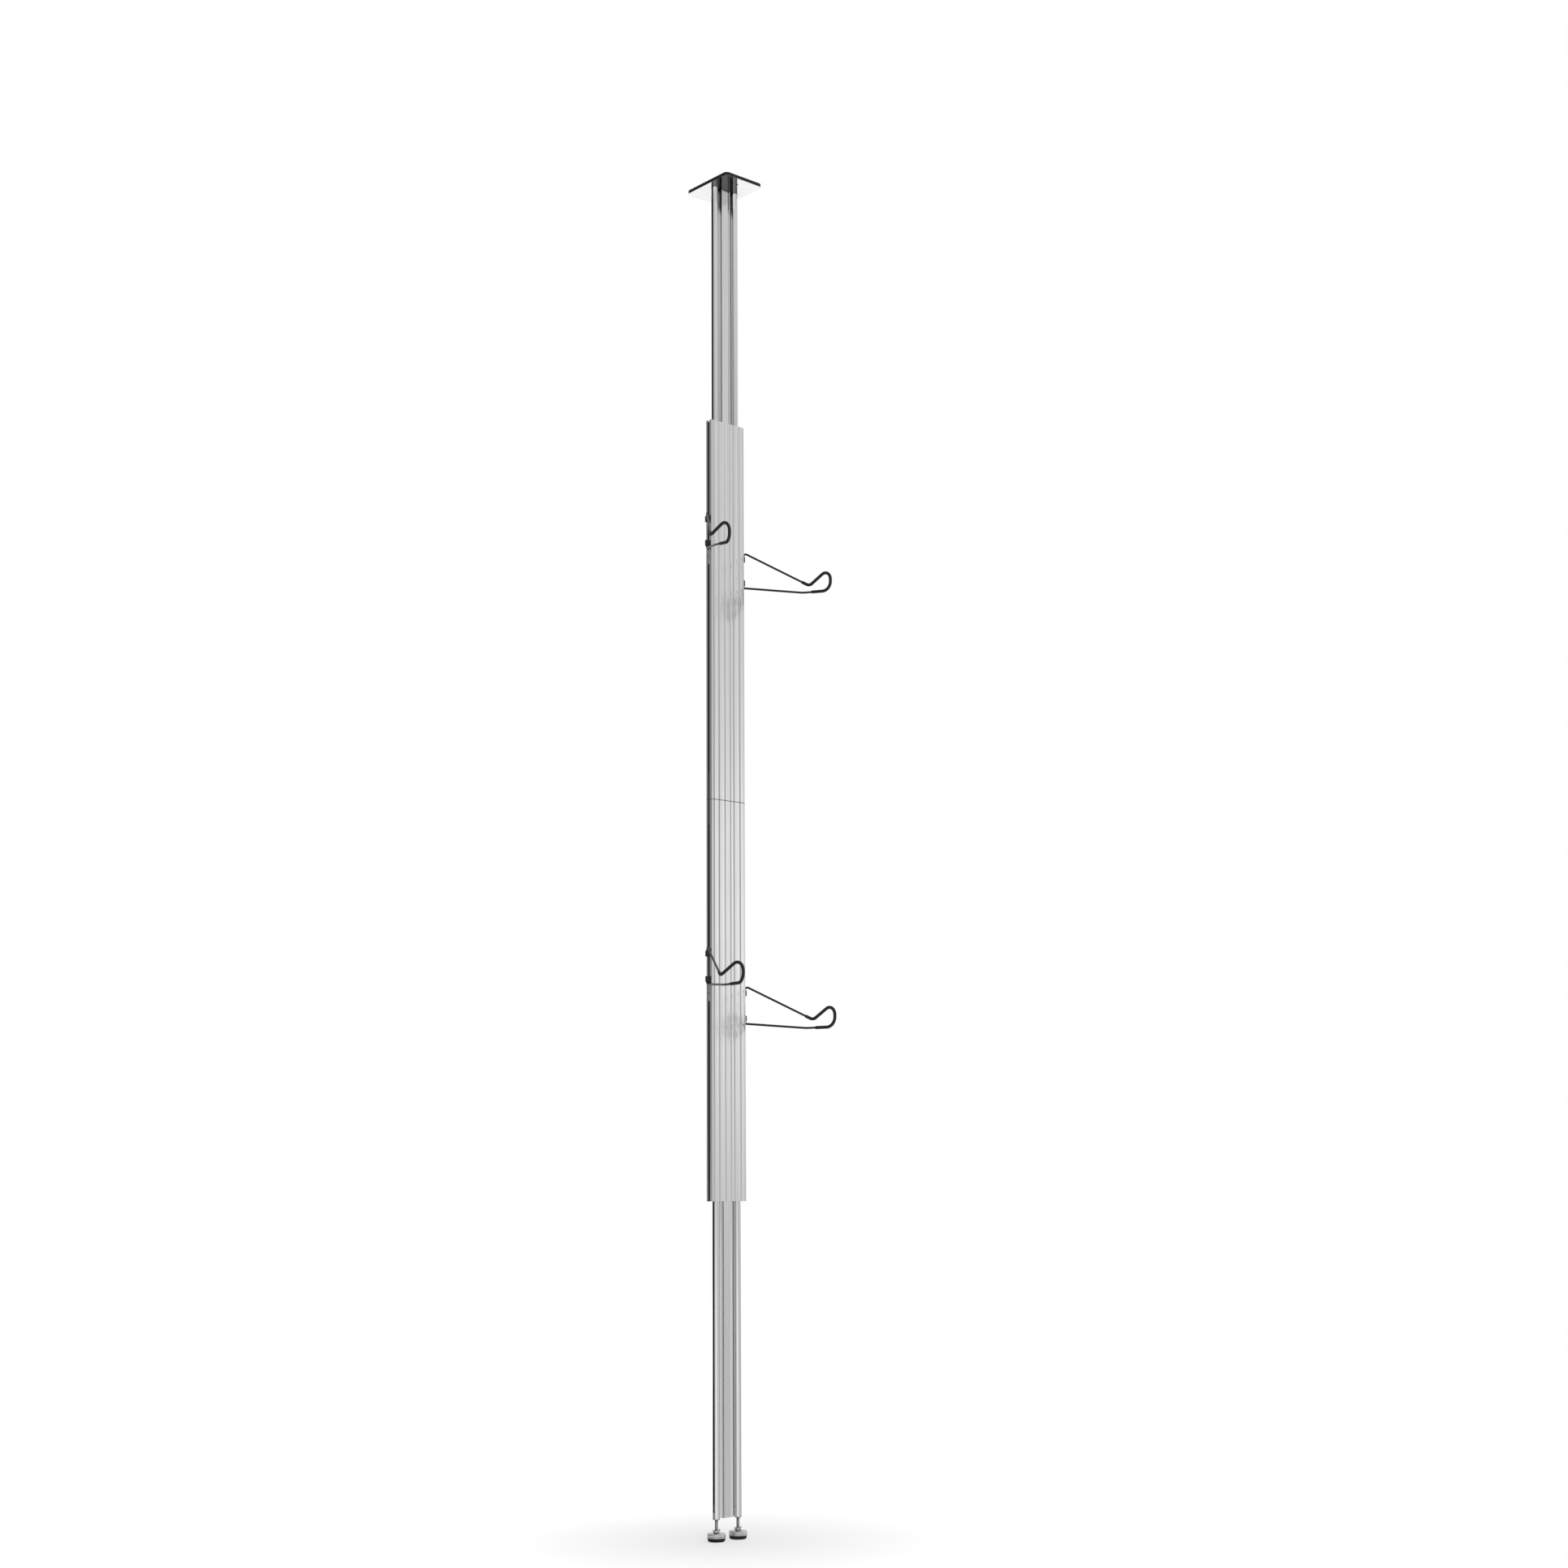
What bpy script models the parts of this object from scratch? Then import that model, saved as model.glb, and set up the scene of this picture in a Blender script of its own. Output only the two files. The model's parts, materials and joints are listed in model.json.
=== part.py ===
"""A bike stand: a sliding column wedged between floor and ceiling, with four swinging wire hooks.

Metres, +Z up. The origin is the middle of the ceiling face, and the hooks point to -Y.
Heights named here are above the floor, which lies INSTALLED_HEIGHT under the origin.
"""

from math import asin, cos, degrees, pi, radians, sin, tan

import bmesh
import bpy
from mathutils import Matrix, Vector

# Overall setting of the column, as it stands in the room
INSTALLED_HEIGHT = 3.165
LOWER_RAIL_EXPOSED = 0.6856
GAP = 0.0003

# Ceiling plate and its rubber pad
PLATE_WIDTH = 0.114
PLATE_DEPTH = 0.150
PLATE_THICKNESS = 0.004
PLATE_CORNER = 0.010
CEILING_PAD_THICKNESS = 0.0045
FIXING_HOLE_RADIUS = 0.0026
FIXING_HOLE_SPREAD = 0.048
PLATE_SCREW_RADIUS = 0.0022
PLATE_SCREW_HEAD_RADIUS = 0.0044
PLATE_SCREW_HEAD_HEIGHT = 0.0021
PLATE_SCREW_LENGTH = 0.020
PLATE_SCREW_CLEARANCE = 0.0003

# Rail section: two slotted round lobes, a back wall and a boxed middle rib
RAIL_LENGTH = 0.914
RAIL_WALL = 0.002
LOBE_RADIUS = 0.008
LOBE_SPREAD = 0.031
LOBE_SLOT = 0.0055
BOX_HALF_WIDTH = 0.013
BOX_WEB_FRONT = 0.0023
BOX_RIB_FRONT = 0.0052

# Sleeve section: ribbed faces, one rail cavity and a T-slot down each edge
SLEEVE_LENGTH = 0.914
SLEEVE_EDGE_RADIUS = 0.0015
SLEEVE_WALL = 0.0021
SLEEVE_WEB = 0.0017
SLOT_ROOM = 0.0082
SLOT_MOUTH = 0.0055
SLOT_LIP = 0.0018
SLOT_WALL = 0.002
RIB_EDGES = (0.0068, 0.0095, 0.0168, 0.0278, 0.0351, 0.0430)
RIB_HEIGHT = 0.0007
RIB_FLANK = 0.0034
FACE_CROWN = 0.0002
RAIL_CLEARANCE = 0.0003
SLIDER_CLEARANCE = 0.0003

# Splice of the two sleeves, and the screws that lock each rail
SPLICE_LENGTH = 0.120
SPLICE_SCREW_INSET = 0.020
GRUB_RADIUS = 0.0020
GRUB_SOCKET_RADIUS = 0.0011
GRUB_SOCKET_DEPTH = 0.0020
GRUB_RECESS = 0.0006
GRUB_CLEARANCE = 0.0003
LOCK_SCREW_INSET = 0.020
LOCK_SCREW_RADIUS = 0.0022
LOCK_HEAD_RADIUS = 0.0045
LOCK_HEAD_HEIGHT = 0.0026
LOCK_CLEARANCE = 0.0003
LOCK_SPOT_DEPTH = 0.0002

# Screwed plugs in the ends of the lobes
INSERT_CLEARANCE = 0.0003
TOP_INSERT_LENGTH = 0.026
FOOT_INSERT_LENGTH = 0.030
FOOT_FLANGE_HEIGHT = 0.0024
FOOT_FLANGE_EDGE = 0.0010
FOOT_KEY_HEIGHT = 0.013

# Levelling feet
FOOT_PAD_HEIGHT = 0.0073
FOOT_PAD_RADIUS = 0.0195
FOOT_PAD_FLAT_RADIUS = 0.0165
DISC_RADIUS = 0.0205
DISC_HEIGHT = 0.0098
DISC_RIM_HEIGHT = 0.0022
DISC_RIM_STEP = 0.0006
DISC_FLOOR = 0.0027
ROD_RADIUS = 0.0039
ROD_EXPOSED = 0.0195
ROD_RESERVE = 0.004
ROD_CLEARANCE = 0.0003
WING_HUB_RADIUS = 0.0065
WING_HUB_HEIGHT = 0.0060
WING_HEIGHT = 0.0080
WING_SPAN = 0.020
WING_THICKNESS = 0.0024

# Wire hooks, with places out from the hinge, forward of it and above the lower wire
WIRE_RADIUS = 0.0025
HINGE_OFFSET = 0.005
HOOK_HEIGHT = 0.087
TAIL_IN_LUG = 0.011
TAIL_BEND = 0.006
DIP = Vector((0.0955, 0.129, -0.004))
TIP_TOP = Vector((0.0995, 0.199, 0.029))
TIP_BOTTOM = Vector((0.0975, 0.199, -0.029))
LOWER_KNEE = Vector((0.078, 0.125, -0.023))
DIP_BEND = 0.014
TIP_BEND = 0.020
KNEE_BEND = 0.040
GRIP_WALL = 0.0009
GRIP_CLEARANCE = 0.0003
GRIP_LEAD = 0.012
GRIP_TAIL = 0.030

# Sliders in the T-slots, each with two lugs
LUG_HEIGHT = 0.013
LUG_WALL = 0.0017
HINGE_CLEARANCE = 0.0003
SLIDER_LENGTH = 0.090
SLIDER_DROP = 0.002
CLAMP_LENGTH = 0.035
CLAMP_GAP = 0.001
CLAMP_RIB_RECESS = 0.0004

# Each hook: side, height of its lower wire, how far its tip is bent up, inward swing in degrees
HOOKS = {
    "upper_right": (1, 2.168, 0.000, 0.0),
    "upper_left": (-1, 2.247, -0.017, 0.0),
    "lower_right": (1, 1.135, 0.015, 0.0),
    "lower_left": (-1, 1.220, 0.015, 7.5),
}
SIDES = {"right": 1, "left": -1}

# Sizes that follow from those above
LOBE_BORE = LOBE_RADIUS - RAIL_WALL
RAIL_HALF_DEPTH = LOBE_RADIUS
CAVITY_HALF_WIDTH = LOBE_SPREAD + LOBE_RADIUS + RAIL_CLEARANCE
CAVITY_HALF_DEPTH = RAIL_HALF_DEPTH + RAIL_CLEARANCE
SLOT_INNER = CAVITY_HALF_WIDTH + SLEEVE_WEB
SLOT_OUTER = SLOT_INNER + SLOT_ROOM
SLOT_MIDDLE = (SLOT_INNER + SLOT_OUTER) / 2
SLEEVE_WIDTH = 2 * (SLOT_OUTER + SLOT_LIP)
SLEEVE_DEPTH = 2 * (CAVITY_HALF_DEPTH + SLEEVE_WALL)
SLOT_HALF_DEPTH = SLEEVE_DEPTH / 2 - SLOT_WALL
FOOT_STACK = FOOT_PAD_HEIGHT + GAP + DISC_HEIGHT
WING_TOP = FOOT_STACK + GAP + WING_HEIGHT
LOWER_RAIL_BOTTOM = WING_TOP + ROD_EXPOSED + FOOT_FLANGE_HEIGHT + GAP
SLEEVE_BOTTOM = LOWER_RAIL_BOTTOM + LOWER_RAIL_EXPOSED
SPLICE_MIDDLE = SLEEVE_BOTTOM + SLEEVE_LENGTH + GAP / 2
UPPER_SLEEVE_BOTTOM = SPLICE_MIDDLE + GAP / 2
SLEEVE_TOP = UPPER_SLEEVE_BOTTOM + SLEEVE_LENGTH
PLATE_TOP = INSTALLED_HEIGHT - CEILING_PAD_THICKNESS - GAP
PLATE_BOTTOM = PLATE_TOP - PLATE_THICKNESS
UPPER_RAIL_TOP = PLATE_BOTTOM - GAP
HINGE_X = SLEEVE_WIDTH / 2 + HINGE_OFFSET
LUG_RADIUS = WIRE_RADIUS + HINGE_CLEARANCE + LUG_WALL

ROUND_STEPS = 24
SMALL_ROUND_STEPS = 16

# Each look's colour, roughness and metallic value
LOOKS = {
    "silver": ((0.62, 0.62, 0.63), 0.38, 1.0),
    "bright": ((0.80, 0.80, 0.81), 0.12, 1.0),
    "zinc": ((0.66, 0.66, 0.64), 0.32, 1.0),
    "black_wire": ((0.02, 0.02, 0.02), 0.42, 0.0),
    "black_rubber": ((0.025, 0.025, 0.025), 0.75, 0.0),
}


def clear_scene():
    for item in list(bpy.data.objects):
        bpy.data.objects.remove(item, do_unlink=True)


def new_collection(name):
    made = bpy.data.collections.new(name)
    bpy.context.scene.collection.children.link(made)
    return made


def new_material(name, look):
    color, roughness, metallic = LOOKS[look]
    made = bpy.data.materials.new(name)
    made.use_nodes = True
    shader = made.node_tree.nodes["Principled BSDF"]
    shader.inputs["Base Color"].default_value = (*color, 1.0)
    shader.inputs["Roughness"].default_value = roughness
    shader.inputs["Metallic"].default_value = metallic
    return made


clear_scene()
PARTS = new_collection("bike_stand")
CUTTERS = new_collection("cutters")

def new_empty(name, parent, location, turn=0.0):
    """A parent for the pieces of one moving body, on its joint's axis."""
    made = bpy.data.objects.new(name, None)
    PARTS.objects.link(made)
    made.parent = parent
    made.location = location
    made.rotation_euler.z = radians(turn)
    return made


def add_piece(name, data, look, parent, location=(0, 0, 0)):
    made = bpy.data.objects.new(name, data)
    PARTS.objects.link(made)
    made.parent = parent
    made.location = location
    made.data.materials.append(new_material(name, look))
    return made


def add_cutter(name, data, parent, location=(0, 0, 0)):
    made = bpy.data.objects.new(name, data)
    CUTTERS.objects.link(made)
    made.parent = parent
    made.location = location
    made.hide_render = True
    made.display_type = "WIRE"
    return made


def combine(target, other, operation):
    boolean = target.modifiers.new(f"{operation.lower()}_{other.name}", "BOOLEAN")
    boolean.operation = operation
    boolean.object = other
    boolean.solver = "EXACT"


def cut(target, cutter):
    combine(target, cutter, "DIFFERENCE")


def join(target, other):
    combine(target, other, "UNION")


def shade_round(mesh):
    mesh.shade_smooth()
    mesh.set_sharp_from_angle(angle=radians(35))


def mesh_from(build):
    """The mesh that the given function makes in a BMesh."""
    shape = bmesh.new()
    build(shape)
    mesh = bpy.data.meshes.new("shape")
    shape.to_mesh(mesh)
    shape.free()
    return mesh


def box_mesh(low, high):
    size = Vector(high) - Vector(low)
    middle = (Vector(high) + Vector(low)) / 2
    place = Matrix.Translation(middle) @ Matrix.Diagonal((*size, 1.0))
    return mesh_from(lambda shape: bmesh.ops.create_cube(shape, size=1.0, matrix=place))


def cone_mesh(radius_low, radius_high, low, high, axis="Z", sides=ROUND_STEPS):
    """A cylinder or cone from low to high along the axis."""
    turn = {
        "X": Matrix.Rotation(pi / 2, 4, "Y"),
        "Y": Matrix.Rotation(-pi / 2, 4, "X"),
        "Z": Matrix.Identity(4),
    }[axis]
    place = turn @ Matrix.Translation((0, 0, (low + high) / 2))
    mesh = mesh_from(
        lambda shape: bmesh.ops.create_cone(
            shape,
            cap_ends=True,
            segments=sides,
            radius1=radius_low,
            radius2=radius_high,
            depth=high - low,
            matrix=place,
        )
    )
    shade_round(mesh)
    return mesh


def rod_mesh(radius, low, high, axis="Z", sides=ROUND_STEPS):
    return cone_mesh(radius, radius, low, high, axis, sides)


def turn_profile(name, profile, look, parent, location=(0, 0, 0), closed=False):
    """A turned piece: its profile runs down the outer side as (radius, height) pairs."""

    def build(shape):
        points = [shape.verts.new((radius, 0, height)) for radius, height in profile]
        for first, second in zip(points, points[1:]):
            shape.edges.new((first, second))
        if closed:
            shape.edges.new((points[-1], points[0]))

    made = add_piece(name, mesh_from(build), look, parent, location)
    screw = made.modifiers.new("turned", "SCREW")
    screw.steps = ROUND_STEPS
    screw.render_steps = ROUND_STEPS
    screw.use_merge_vertices = True
    screw.merge_threshold = 0.00001
    screw.use_smooth_shade = False
    return made


def extruded_mesh(loops, low, high):
    """A flat outline with its holes, drawn out along Z from low to high."""
    curve = bpy.data.curves.new("outline", "CURVE")
    curve.dimensions = "2D"
    curve.fill_mode = "BOTH"
    curve.extrude = (high - low) / 2
    for loop in loops:
        spline = curve.splines.new("POLY")
        spline.points.add(len(loop) - 1)
        for point, (x, y) in zip(spline.points, loop):
            point.co = (x, y, 0, 1)
        spline.use_cyclic_u = True
    return mesh_of_curve(curve, Matrix.Translation((0, 0, (low + high) / 2)))


def mesh_of_curve(curve, place):
    """The curve's surface as one welded mesh, and the curve removed."""
    holder = bpy.data.objects.new("holder", curve)
    bpy.context.scene.collection.objects.link(holder)
    graph = bpy.context.evaluated_depsgraph_get()
    mesh = bpy.data.meshes.new_from_object(holder.evaluated_get(graph))
    bpy.data.objects.remove(holder)
    shape = bmesh.new()
    shape.from_mesh(mesh)
    bmesh.ops.remove_doubles(shape, verts=shape.verts, dist=0.000001)
    bmesh.ops.recalc_face_normals(shape, faces=shape.faces)
    bmesh.ops.transform(shape, matrix=place, verts=shape.verts)
    shape.to_mesh(mesh)
    shape.free()
    shade_round(mesh)
    return mesh


def tube_curve(points, radius, capped=True):
    curve = bpy.data.curves.new("wire", "CURVE")
    curve.dimensions = "3D"
    curve.bevel_depth = radius
    curve.bevel_resolution = 2
    curve.use_fill_caps = capped
    spline = curve.splines.new("POLY")
    spline.points.add(len(points) - 1)
    for point, place in zip(spline.points, points):
        point.co = (*place, 1)
    return curve


def arc(center, radius, start, end, count):
    """Points on a flat arc, angles in degrees, both ends included."""
    turns = [radians(start + (end - start) * step / count) for step in range(count + 1)]
    return [(center[0] + radius * cos(a), center[1] + radius * sin(a)) for a in turns]


def mirrored(points):
    return [(-x, y) for x, y in reversed(points)]


def rounded_box_outline(half_width, half_depth, radius, count=4):
    points = []
    for turn, x, y in ((0, 1, 1), (90, -1, 1), (180, -1, -1), (270, 1, -1)):
        center = (x * (half_width - radius), y * (half_depth - radius))
        points += arc(center, radius, turn, turn + 90, count)
    return points


def rail_outline():
    """The rail's section from its back wall round one lobe to the middle rib, and mirrored."""
    center = (LOBE_SPREAD, 0)
    outer_slot = degrees(asin(LOBE_SLOT / 2 / LOBE_RADIUS))
    inner_slot = degrees(asin(LOBE_SLOT / 2 / LOBE_BORE))
    valley = 360 - degrees(asin((LOBE_RADIUS - RAIL_WALL) / LOBE_RADIUS)) - 180
    half = arc(center, LOBE_RADIUS, 90, outer_slot, 5)
    half += arc(center, LOBE_BORE, inner_slot, 360 - inner_slot, 18)
    half += arc(center, LOBE_RADIUS, 360 - outer_slot, valley, 14)
    half += [
        (BOX_HALF_WIDTH, LOBE_RADIUS - RAIL_WALL),
        (BOX_HALF_WIDTH, -BOX_RIB_FRONT),
        (BOX_HALF_WIDTH - RAIL_WALL, -BOX_RIB_FRONT),
        (BOX_HALF_WIDTH - RAIL_WALL, -BOX_WEB_FRONT),
    ]
    return half + mirrored(half)


def rail_box_outline():
    half_width = BOX_HALF_WIDTH - RAIL_WALL
    back = LOBE_RADIUS - RAIL_WALL
    front = RAIL_WALL - BOX_WEB_FRONT
    return [(half_width, back), (half_width, front), (-half_width, front), (-half_width, back)]


def rib_level(place):
    """How far a face has risen at a place across it, from 0 between its ribs to 1 on top of one."""
    level = 0
    for number, edge in enumerate(RIB_EDGES):
        climb = min(max((place - edge) / RIB_FLANK + 0.5, 0), 1)
        level += (-1) ** number * (1 - cos(pi * climb)) / 2
    return level


def ribbed_face(face):
    """Half of a ribbed and faintly bowed face, from its middle to the start of the rounded edge."""
    edge = SLEEVE_WIDTH / 2 - SLEEVE_EDGE_RADIUS
    flanks = [rib + RIB_FLANK * (part / 4 - 0.5) for rib in RIB_EDGES for part in range(5)]
    places = [0.0]
    for place in sorted(flanks):
        if places[-1] + RIB_FLANK / 8 < place < edge:
            places.append(place)
    return [
        (place, face + FACE_CROWN * (1 - (place / edge) ** 2) + RIB_HEIGHT * rib_level(place))
        for place in places
    ]


def sleeve_outline():
    """The sleeve's outside: ribbed front and back, and a T-slot let into each edge."""
    face = SLEEVE_DEPTH / 2 - RIB_HEIGHT - FACE_CROWN
    back = ribbed_face(face)
    corner = (SLEEVE_WIDTH / 2 - SLEEVE_EDGE_RADIUS, face - SLEEVE_EDGE_RADIUS)
    edge = arc(corner, SLEEVE_EDGE_RADIUS, 90, 0, 4)
    slot = [
        (SLEEVE_WIDTH / 2, SLOT_MOUTH / 2),
        (SLOT_OUTER, SLOT_MOUTH / 2),
        (SLOT_OUTER, SLOT_HALF_DEPTH),
        (SLOT_INNER, SLOT_HALF_DEPTH),
    ]
    quarter = back + edge + slot
    half = quarter + [(x, -y) for x, y in reversed(quarter)]
    return half + mirrored(half)[1:-1]


def sleeve_cavity_outline():
    return rounded_box_outline(CAVITY_HALF_WIDTH, CAVITY_HALF_DEPTH, RAIL_HALF_DEPTH / 4)


def corner_arc(before, corner, after, radius, steps):
    """Points on the arc that rounds off a corner between two straight runs."""
    inward = (corner - before).normalized()
    outward = (after - corner).normalized()
    turn = inward.angle(outward)
    start = corner - inward * radius * tan(turn / 2)
    normal = (outward - inward * inward.dot(outward)).normalized()
    angles = [turn * step / steps for step in range(steps + 1)]
    return [start + (inward * sin(a) + normal * (1 - cos(a))) * radius for a in angles]


def tail_setbacks():
    """How far below its top corner, and above its lower one, the wire's tails run straight."""
    up = Vector((0, 0, 1))
    upper_turn = up.angle(DIP - up * HOOK_HEIGHT)
    lower_turn = up.angle(-LOWER_KNEE)
    return TAIL_BEND * tan(upper_turn / 2), TAIL_BEND * tan(lower_turn / 2)


def hook_route(side, lift):
    """The wire's middle line round the whole hook, and the stretch of it inside the grip."""
    upper_setback, lower_setback = tail_setbacks()
    up = Vector((0, 0, 1))
    low, high = Vector((0, 0, 0)), up * HOOK_HEIGHT
    first = high - up * (upper_setback + TAIL_IN_LUG)
    last = low + up * (lower_setback + TAIL_IN_LUG)
    upper_bend = corner_arc(first, high, DIP, TAIL_BEND, 5)
    looped = corner_arc(high, DIP, TIP_TOP, DIP_BEND, 5)
    looped += corner_arc(DIP, TIP_TOP, TIP_BOTTOM, TIP_BEND, 10)
    looped += corner_arc(TIP_TOP, TIP_BOTTOM, LOWER_KNEE, TIP_BEND, 9)
    knee = corner_arc(TIP_BOTTOM, LOWER_KNEE, low, KNEE_BEND, 3)
    lower_bend = corner_arc(LOWER_KNEE, low, last, TAIL_BEND, 5)
    lead = (high - DIP).normalized() * GRIP_LEAD
    tail = (LOWER_KNEE - TIP_BOTTOM).normalized() * GRIP_TAIL
    grip = [looped[0] + lead] + looped + [looped[-1] + tail]

    def placed(points):
        bent_up = lift / TIP_TOP.y
        return [Vector((side * p.x, -p.y, p.z + bent_up * p.y)) for p in points]

    return placed([first] + upper_bend + looped + knee + lower_bend + [last]), placed(grip)


def add_grub_screw(name, parent, location, side, inner, outer):
    """A socketed screw along X, from inner to outer on the given side."""
    low, high = sorted((side * inner, side * outer))
    shank = rod_mesh(GRUB_RADIUS, low, high, "X", SMALL_ROUND_STEPS)
    made = add_piece(name, shank, "zinc", parent, location)
    bottom = outer - GRUB_SOCKET_DEPTH
    low, high = sorted((side * bottom, side * (outer + GRUB_RECESS)))
    socket = rod_mesh(GRUB_SOCKET_RADIUS, low, high, "X", 6)
    cut(made, add_cutter(f"{name}_socket", socket, parent, location))
    return made


def bore_for_grub(target, name, parent, location, side):
    low, high = sorted((side * SLOT_INNER, side * SLEEVE_WIDTH / 2))
    bore = rod_mesh(GRUB_RADIUS + GRUB_CLEARANCE, low, high, "X", SMALL_ROUND_STEPS)
    cut(target, add_cutter(f"{name}_bore", bore, parent, location))


def make_head(head):
    """The ceiling pad, the plate, its two screws and the upper rail with its plugs."""
    outline = [rounded_box_outline(PLATE_WIDTH / 2, PLATE_DEPTH / 2, PLATE_CORNER)]
    pad = extruded_mesh(outline, PLATE_TOP + GAP, INSTALLED_HEIGHT)
    add_piece("ceiling_pad", pad, "black_rubber", head)
    plate = add_piece(
        "ceiling_plate", extruded_mesh(outline, PLATE_BOTTOM, PLATE_TOP), "bright", head
    )
    through = (PLATE_BOTTOM - GAP, PLATE_TOP + GAP)
    for name, side in (("front", -1), ("back", 1)):
        hole = rod_mesh(FIXING_HOLE_RADIUS, *through)
        cut(plate, add_cutter(f"fixing_{name}", hole, head, (0, side * FIXING_HOLE_SPREAD, 0)))

    rail = extruded_mesh(
        [rail_outline(), rail_box_outline()], UPPER_RAIL_TOP - RAIL_LENGTH, UPPER_RAIL_TOP
    )
    add_piece("upper_rail", rail, "silver", head)

    head_top = PLATE_TOP - GAP
    neck = head_top - PLATE_SCREW_HEAD_HEIGHT
    screw_end = head_top - PLATE_SCREW_LENGTH
    clear = PLATE_SCREW_RADIUS + PLATE_SCREW_CLEARANCE
    sink = PLATE_SCREW_HEAD_RADIUS + PLATE_SCREW_CLEARANCE
    for name, side in SIDES.items():
        place = (side * LOBE_SPREAD, 0, 0)
        hole = rod_mesh(clear, *through)
        cut(plate, add_cutter(f"plate_hole_{name}", hole, head, place))
        countersink = cone_mesh(clear, sink, neck, PLATE_TOP + GAP / 10)
        cut(plate, add_cutter(f"countersink_{name}", countersink, head, place))
        turn_profile(
            f"plate_screw_{name}",
            [
                (0, head_top),
                (PLATE_SCREW_HEAD_RADIUS, head_top),
                (PLATE_SCREW_RADIUS, neck),
                (PLATE_SCREW_RADIUS, screw_end),
                (0, screw_end),
            ],
            "zinc",
            head,
            place,
        )
        outside = LOBE_BORE - INSERT_CLEARANCE
        insert_bottom = UPPER_RAIL_TOP - TOP_INSERT_LENGTH
        turn_profile(
            f"top_insert_{name}",
            [
                (outside, UPPER_RAIL_TOP),
                (outside, insert_bottom),
                (clear, insert_bottom),
                (clear, UPPER_RAIL_TOP),
            ],
            "zinc",
            head,
            place,
            closed=True,
        )


def add_lock_screw(name, sleeve, column, height):
    """A low-headed screw through the sleeve's back wall, its tip just off the rail."""
    place = (0, 0, height)
    hole = rod_mesh(LOCK_SCREW_RADIUS + LOCK_CLEARANCE, 0, SLEEVE_DEPTH, "Y")
    cut(sleeve, add_cutter(f"{name}_hole", hole, column, place))
    floor = SLEEVE_DEPTH / 2 - RIB_HEIGHT - LOCK_SPOT_DEPTH
    spot = rod_mesh(LOCK_HEAD_RADIUS + LOCK_CLEARANCE, floor, SLEEVE_DEPTH, "Y")
    cut(sleeve, add_cutter(f"{name}_spot", spot, column, place))
    tip = RAIL_HALF_DEPTH + GAP
    seat = floor + GAP
    screw = turn_profile(
        name,
        [
            (0, seat + LOCK_HEAD_HEIGHT),
            (LOCK_HEAD_RADIUS * 0.55, seat + LOCK_HEAD_HEIGHT),
            (LOCK_HEAD_RADIUS * 0.88, seat + LOCK_HEAD_HEIGHT * 0.62),
            (LOCK_HEAD_RADIUS, seat),
            (LOCK_SCREW_RADIUS, seat),
            (LOCK_SCREW_RADIUS, tip),
            (0, tip),
        ],
        "zinc",
        column,
        place,
    )
    screw.rotation_euler.x = -pi / 2


def make_column(column):
    """The two ribbed sleeves and what joins them and locks the rails."""
    loops = [sleeve_outline(), sleeve_cavity_outline()]
    lower = extruded_mesh(loops, SLEEVE_BOTTOM, SLEEVE_BOTTOM + SLEEVE_LENGTH)
    lower = add_piece("lower_sleeve", lower, "silver", column)
    upper = extruded_mesh(loops, UPPER_SLEEVE_BOTTOM, SLEEVE_TOP)
    upper = add_piece("upper_sleeve", upper, "silver", column)
    add_lock_screw("rail_lock_screw_upper", upper, column, SLEEVE_TOP - LOCK_SCREW_INSET)
    add_lock_screw("rail_lock_screw_lower", lower, column, SLEEVE_BOTTOM + LOCK_SCREW_INSET)

    inner = SLOT_INNER + SLIDER_CLEARANCE
    outer = SLOT_OUTER - SLIDER_CLEARANCE
    half_depth = SLOT_HALF_DEPTH - SLIDER_CLEARANCE
    half_length = SPLICE_LENGTH / 2
    for side_name, side in SIDES.items():
        low, high = sorted((side * inner, side * outer))
        bar = add_piece(
            f"splice_bar_{side_name}",
            box_mesh(
                (low, -half_depth, SPLICE_MIDDLE - half_length),
                (high, half_depth, SPLICE_MIDDLE + half_length),
            ),
            "zinc",
            column,
        )
        for end_name, end in (("upper", 1), ("lower", -1)):
            name = f"splice_screw_{end_name}_{side_name}"
            place = (0, 0, SPLICE_MIDDLE + end * (half_length - SPLICE_SCREW_INSET))
            bore_for_grub(bar, name, column, place, side)
            add_grub_screw(name, column, place, side, inner, outer - GRUB_RECESS)


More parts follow.
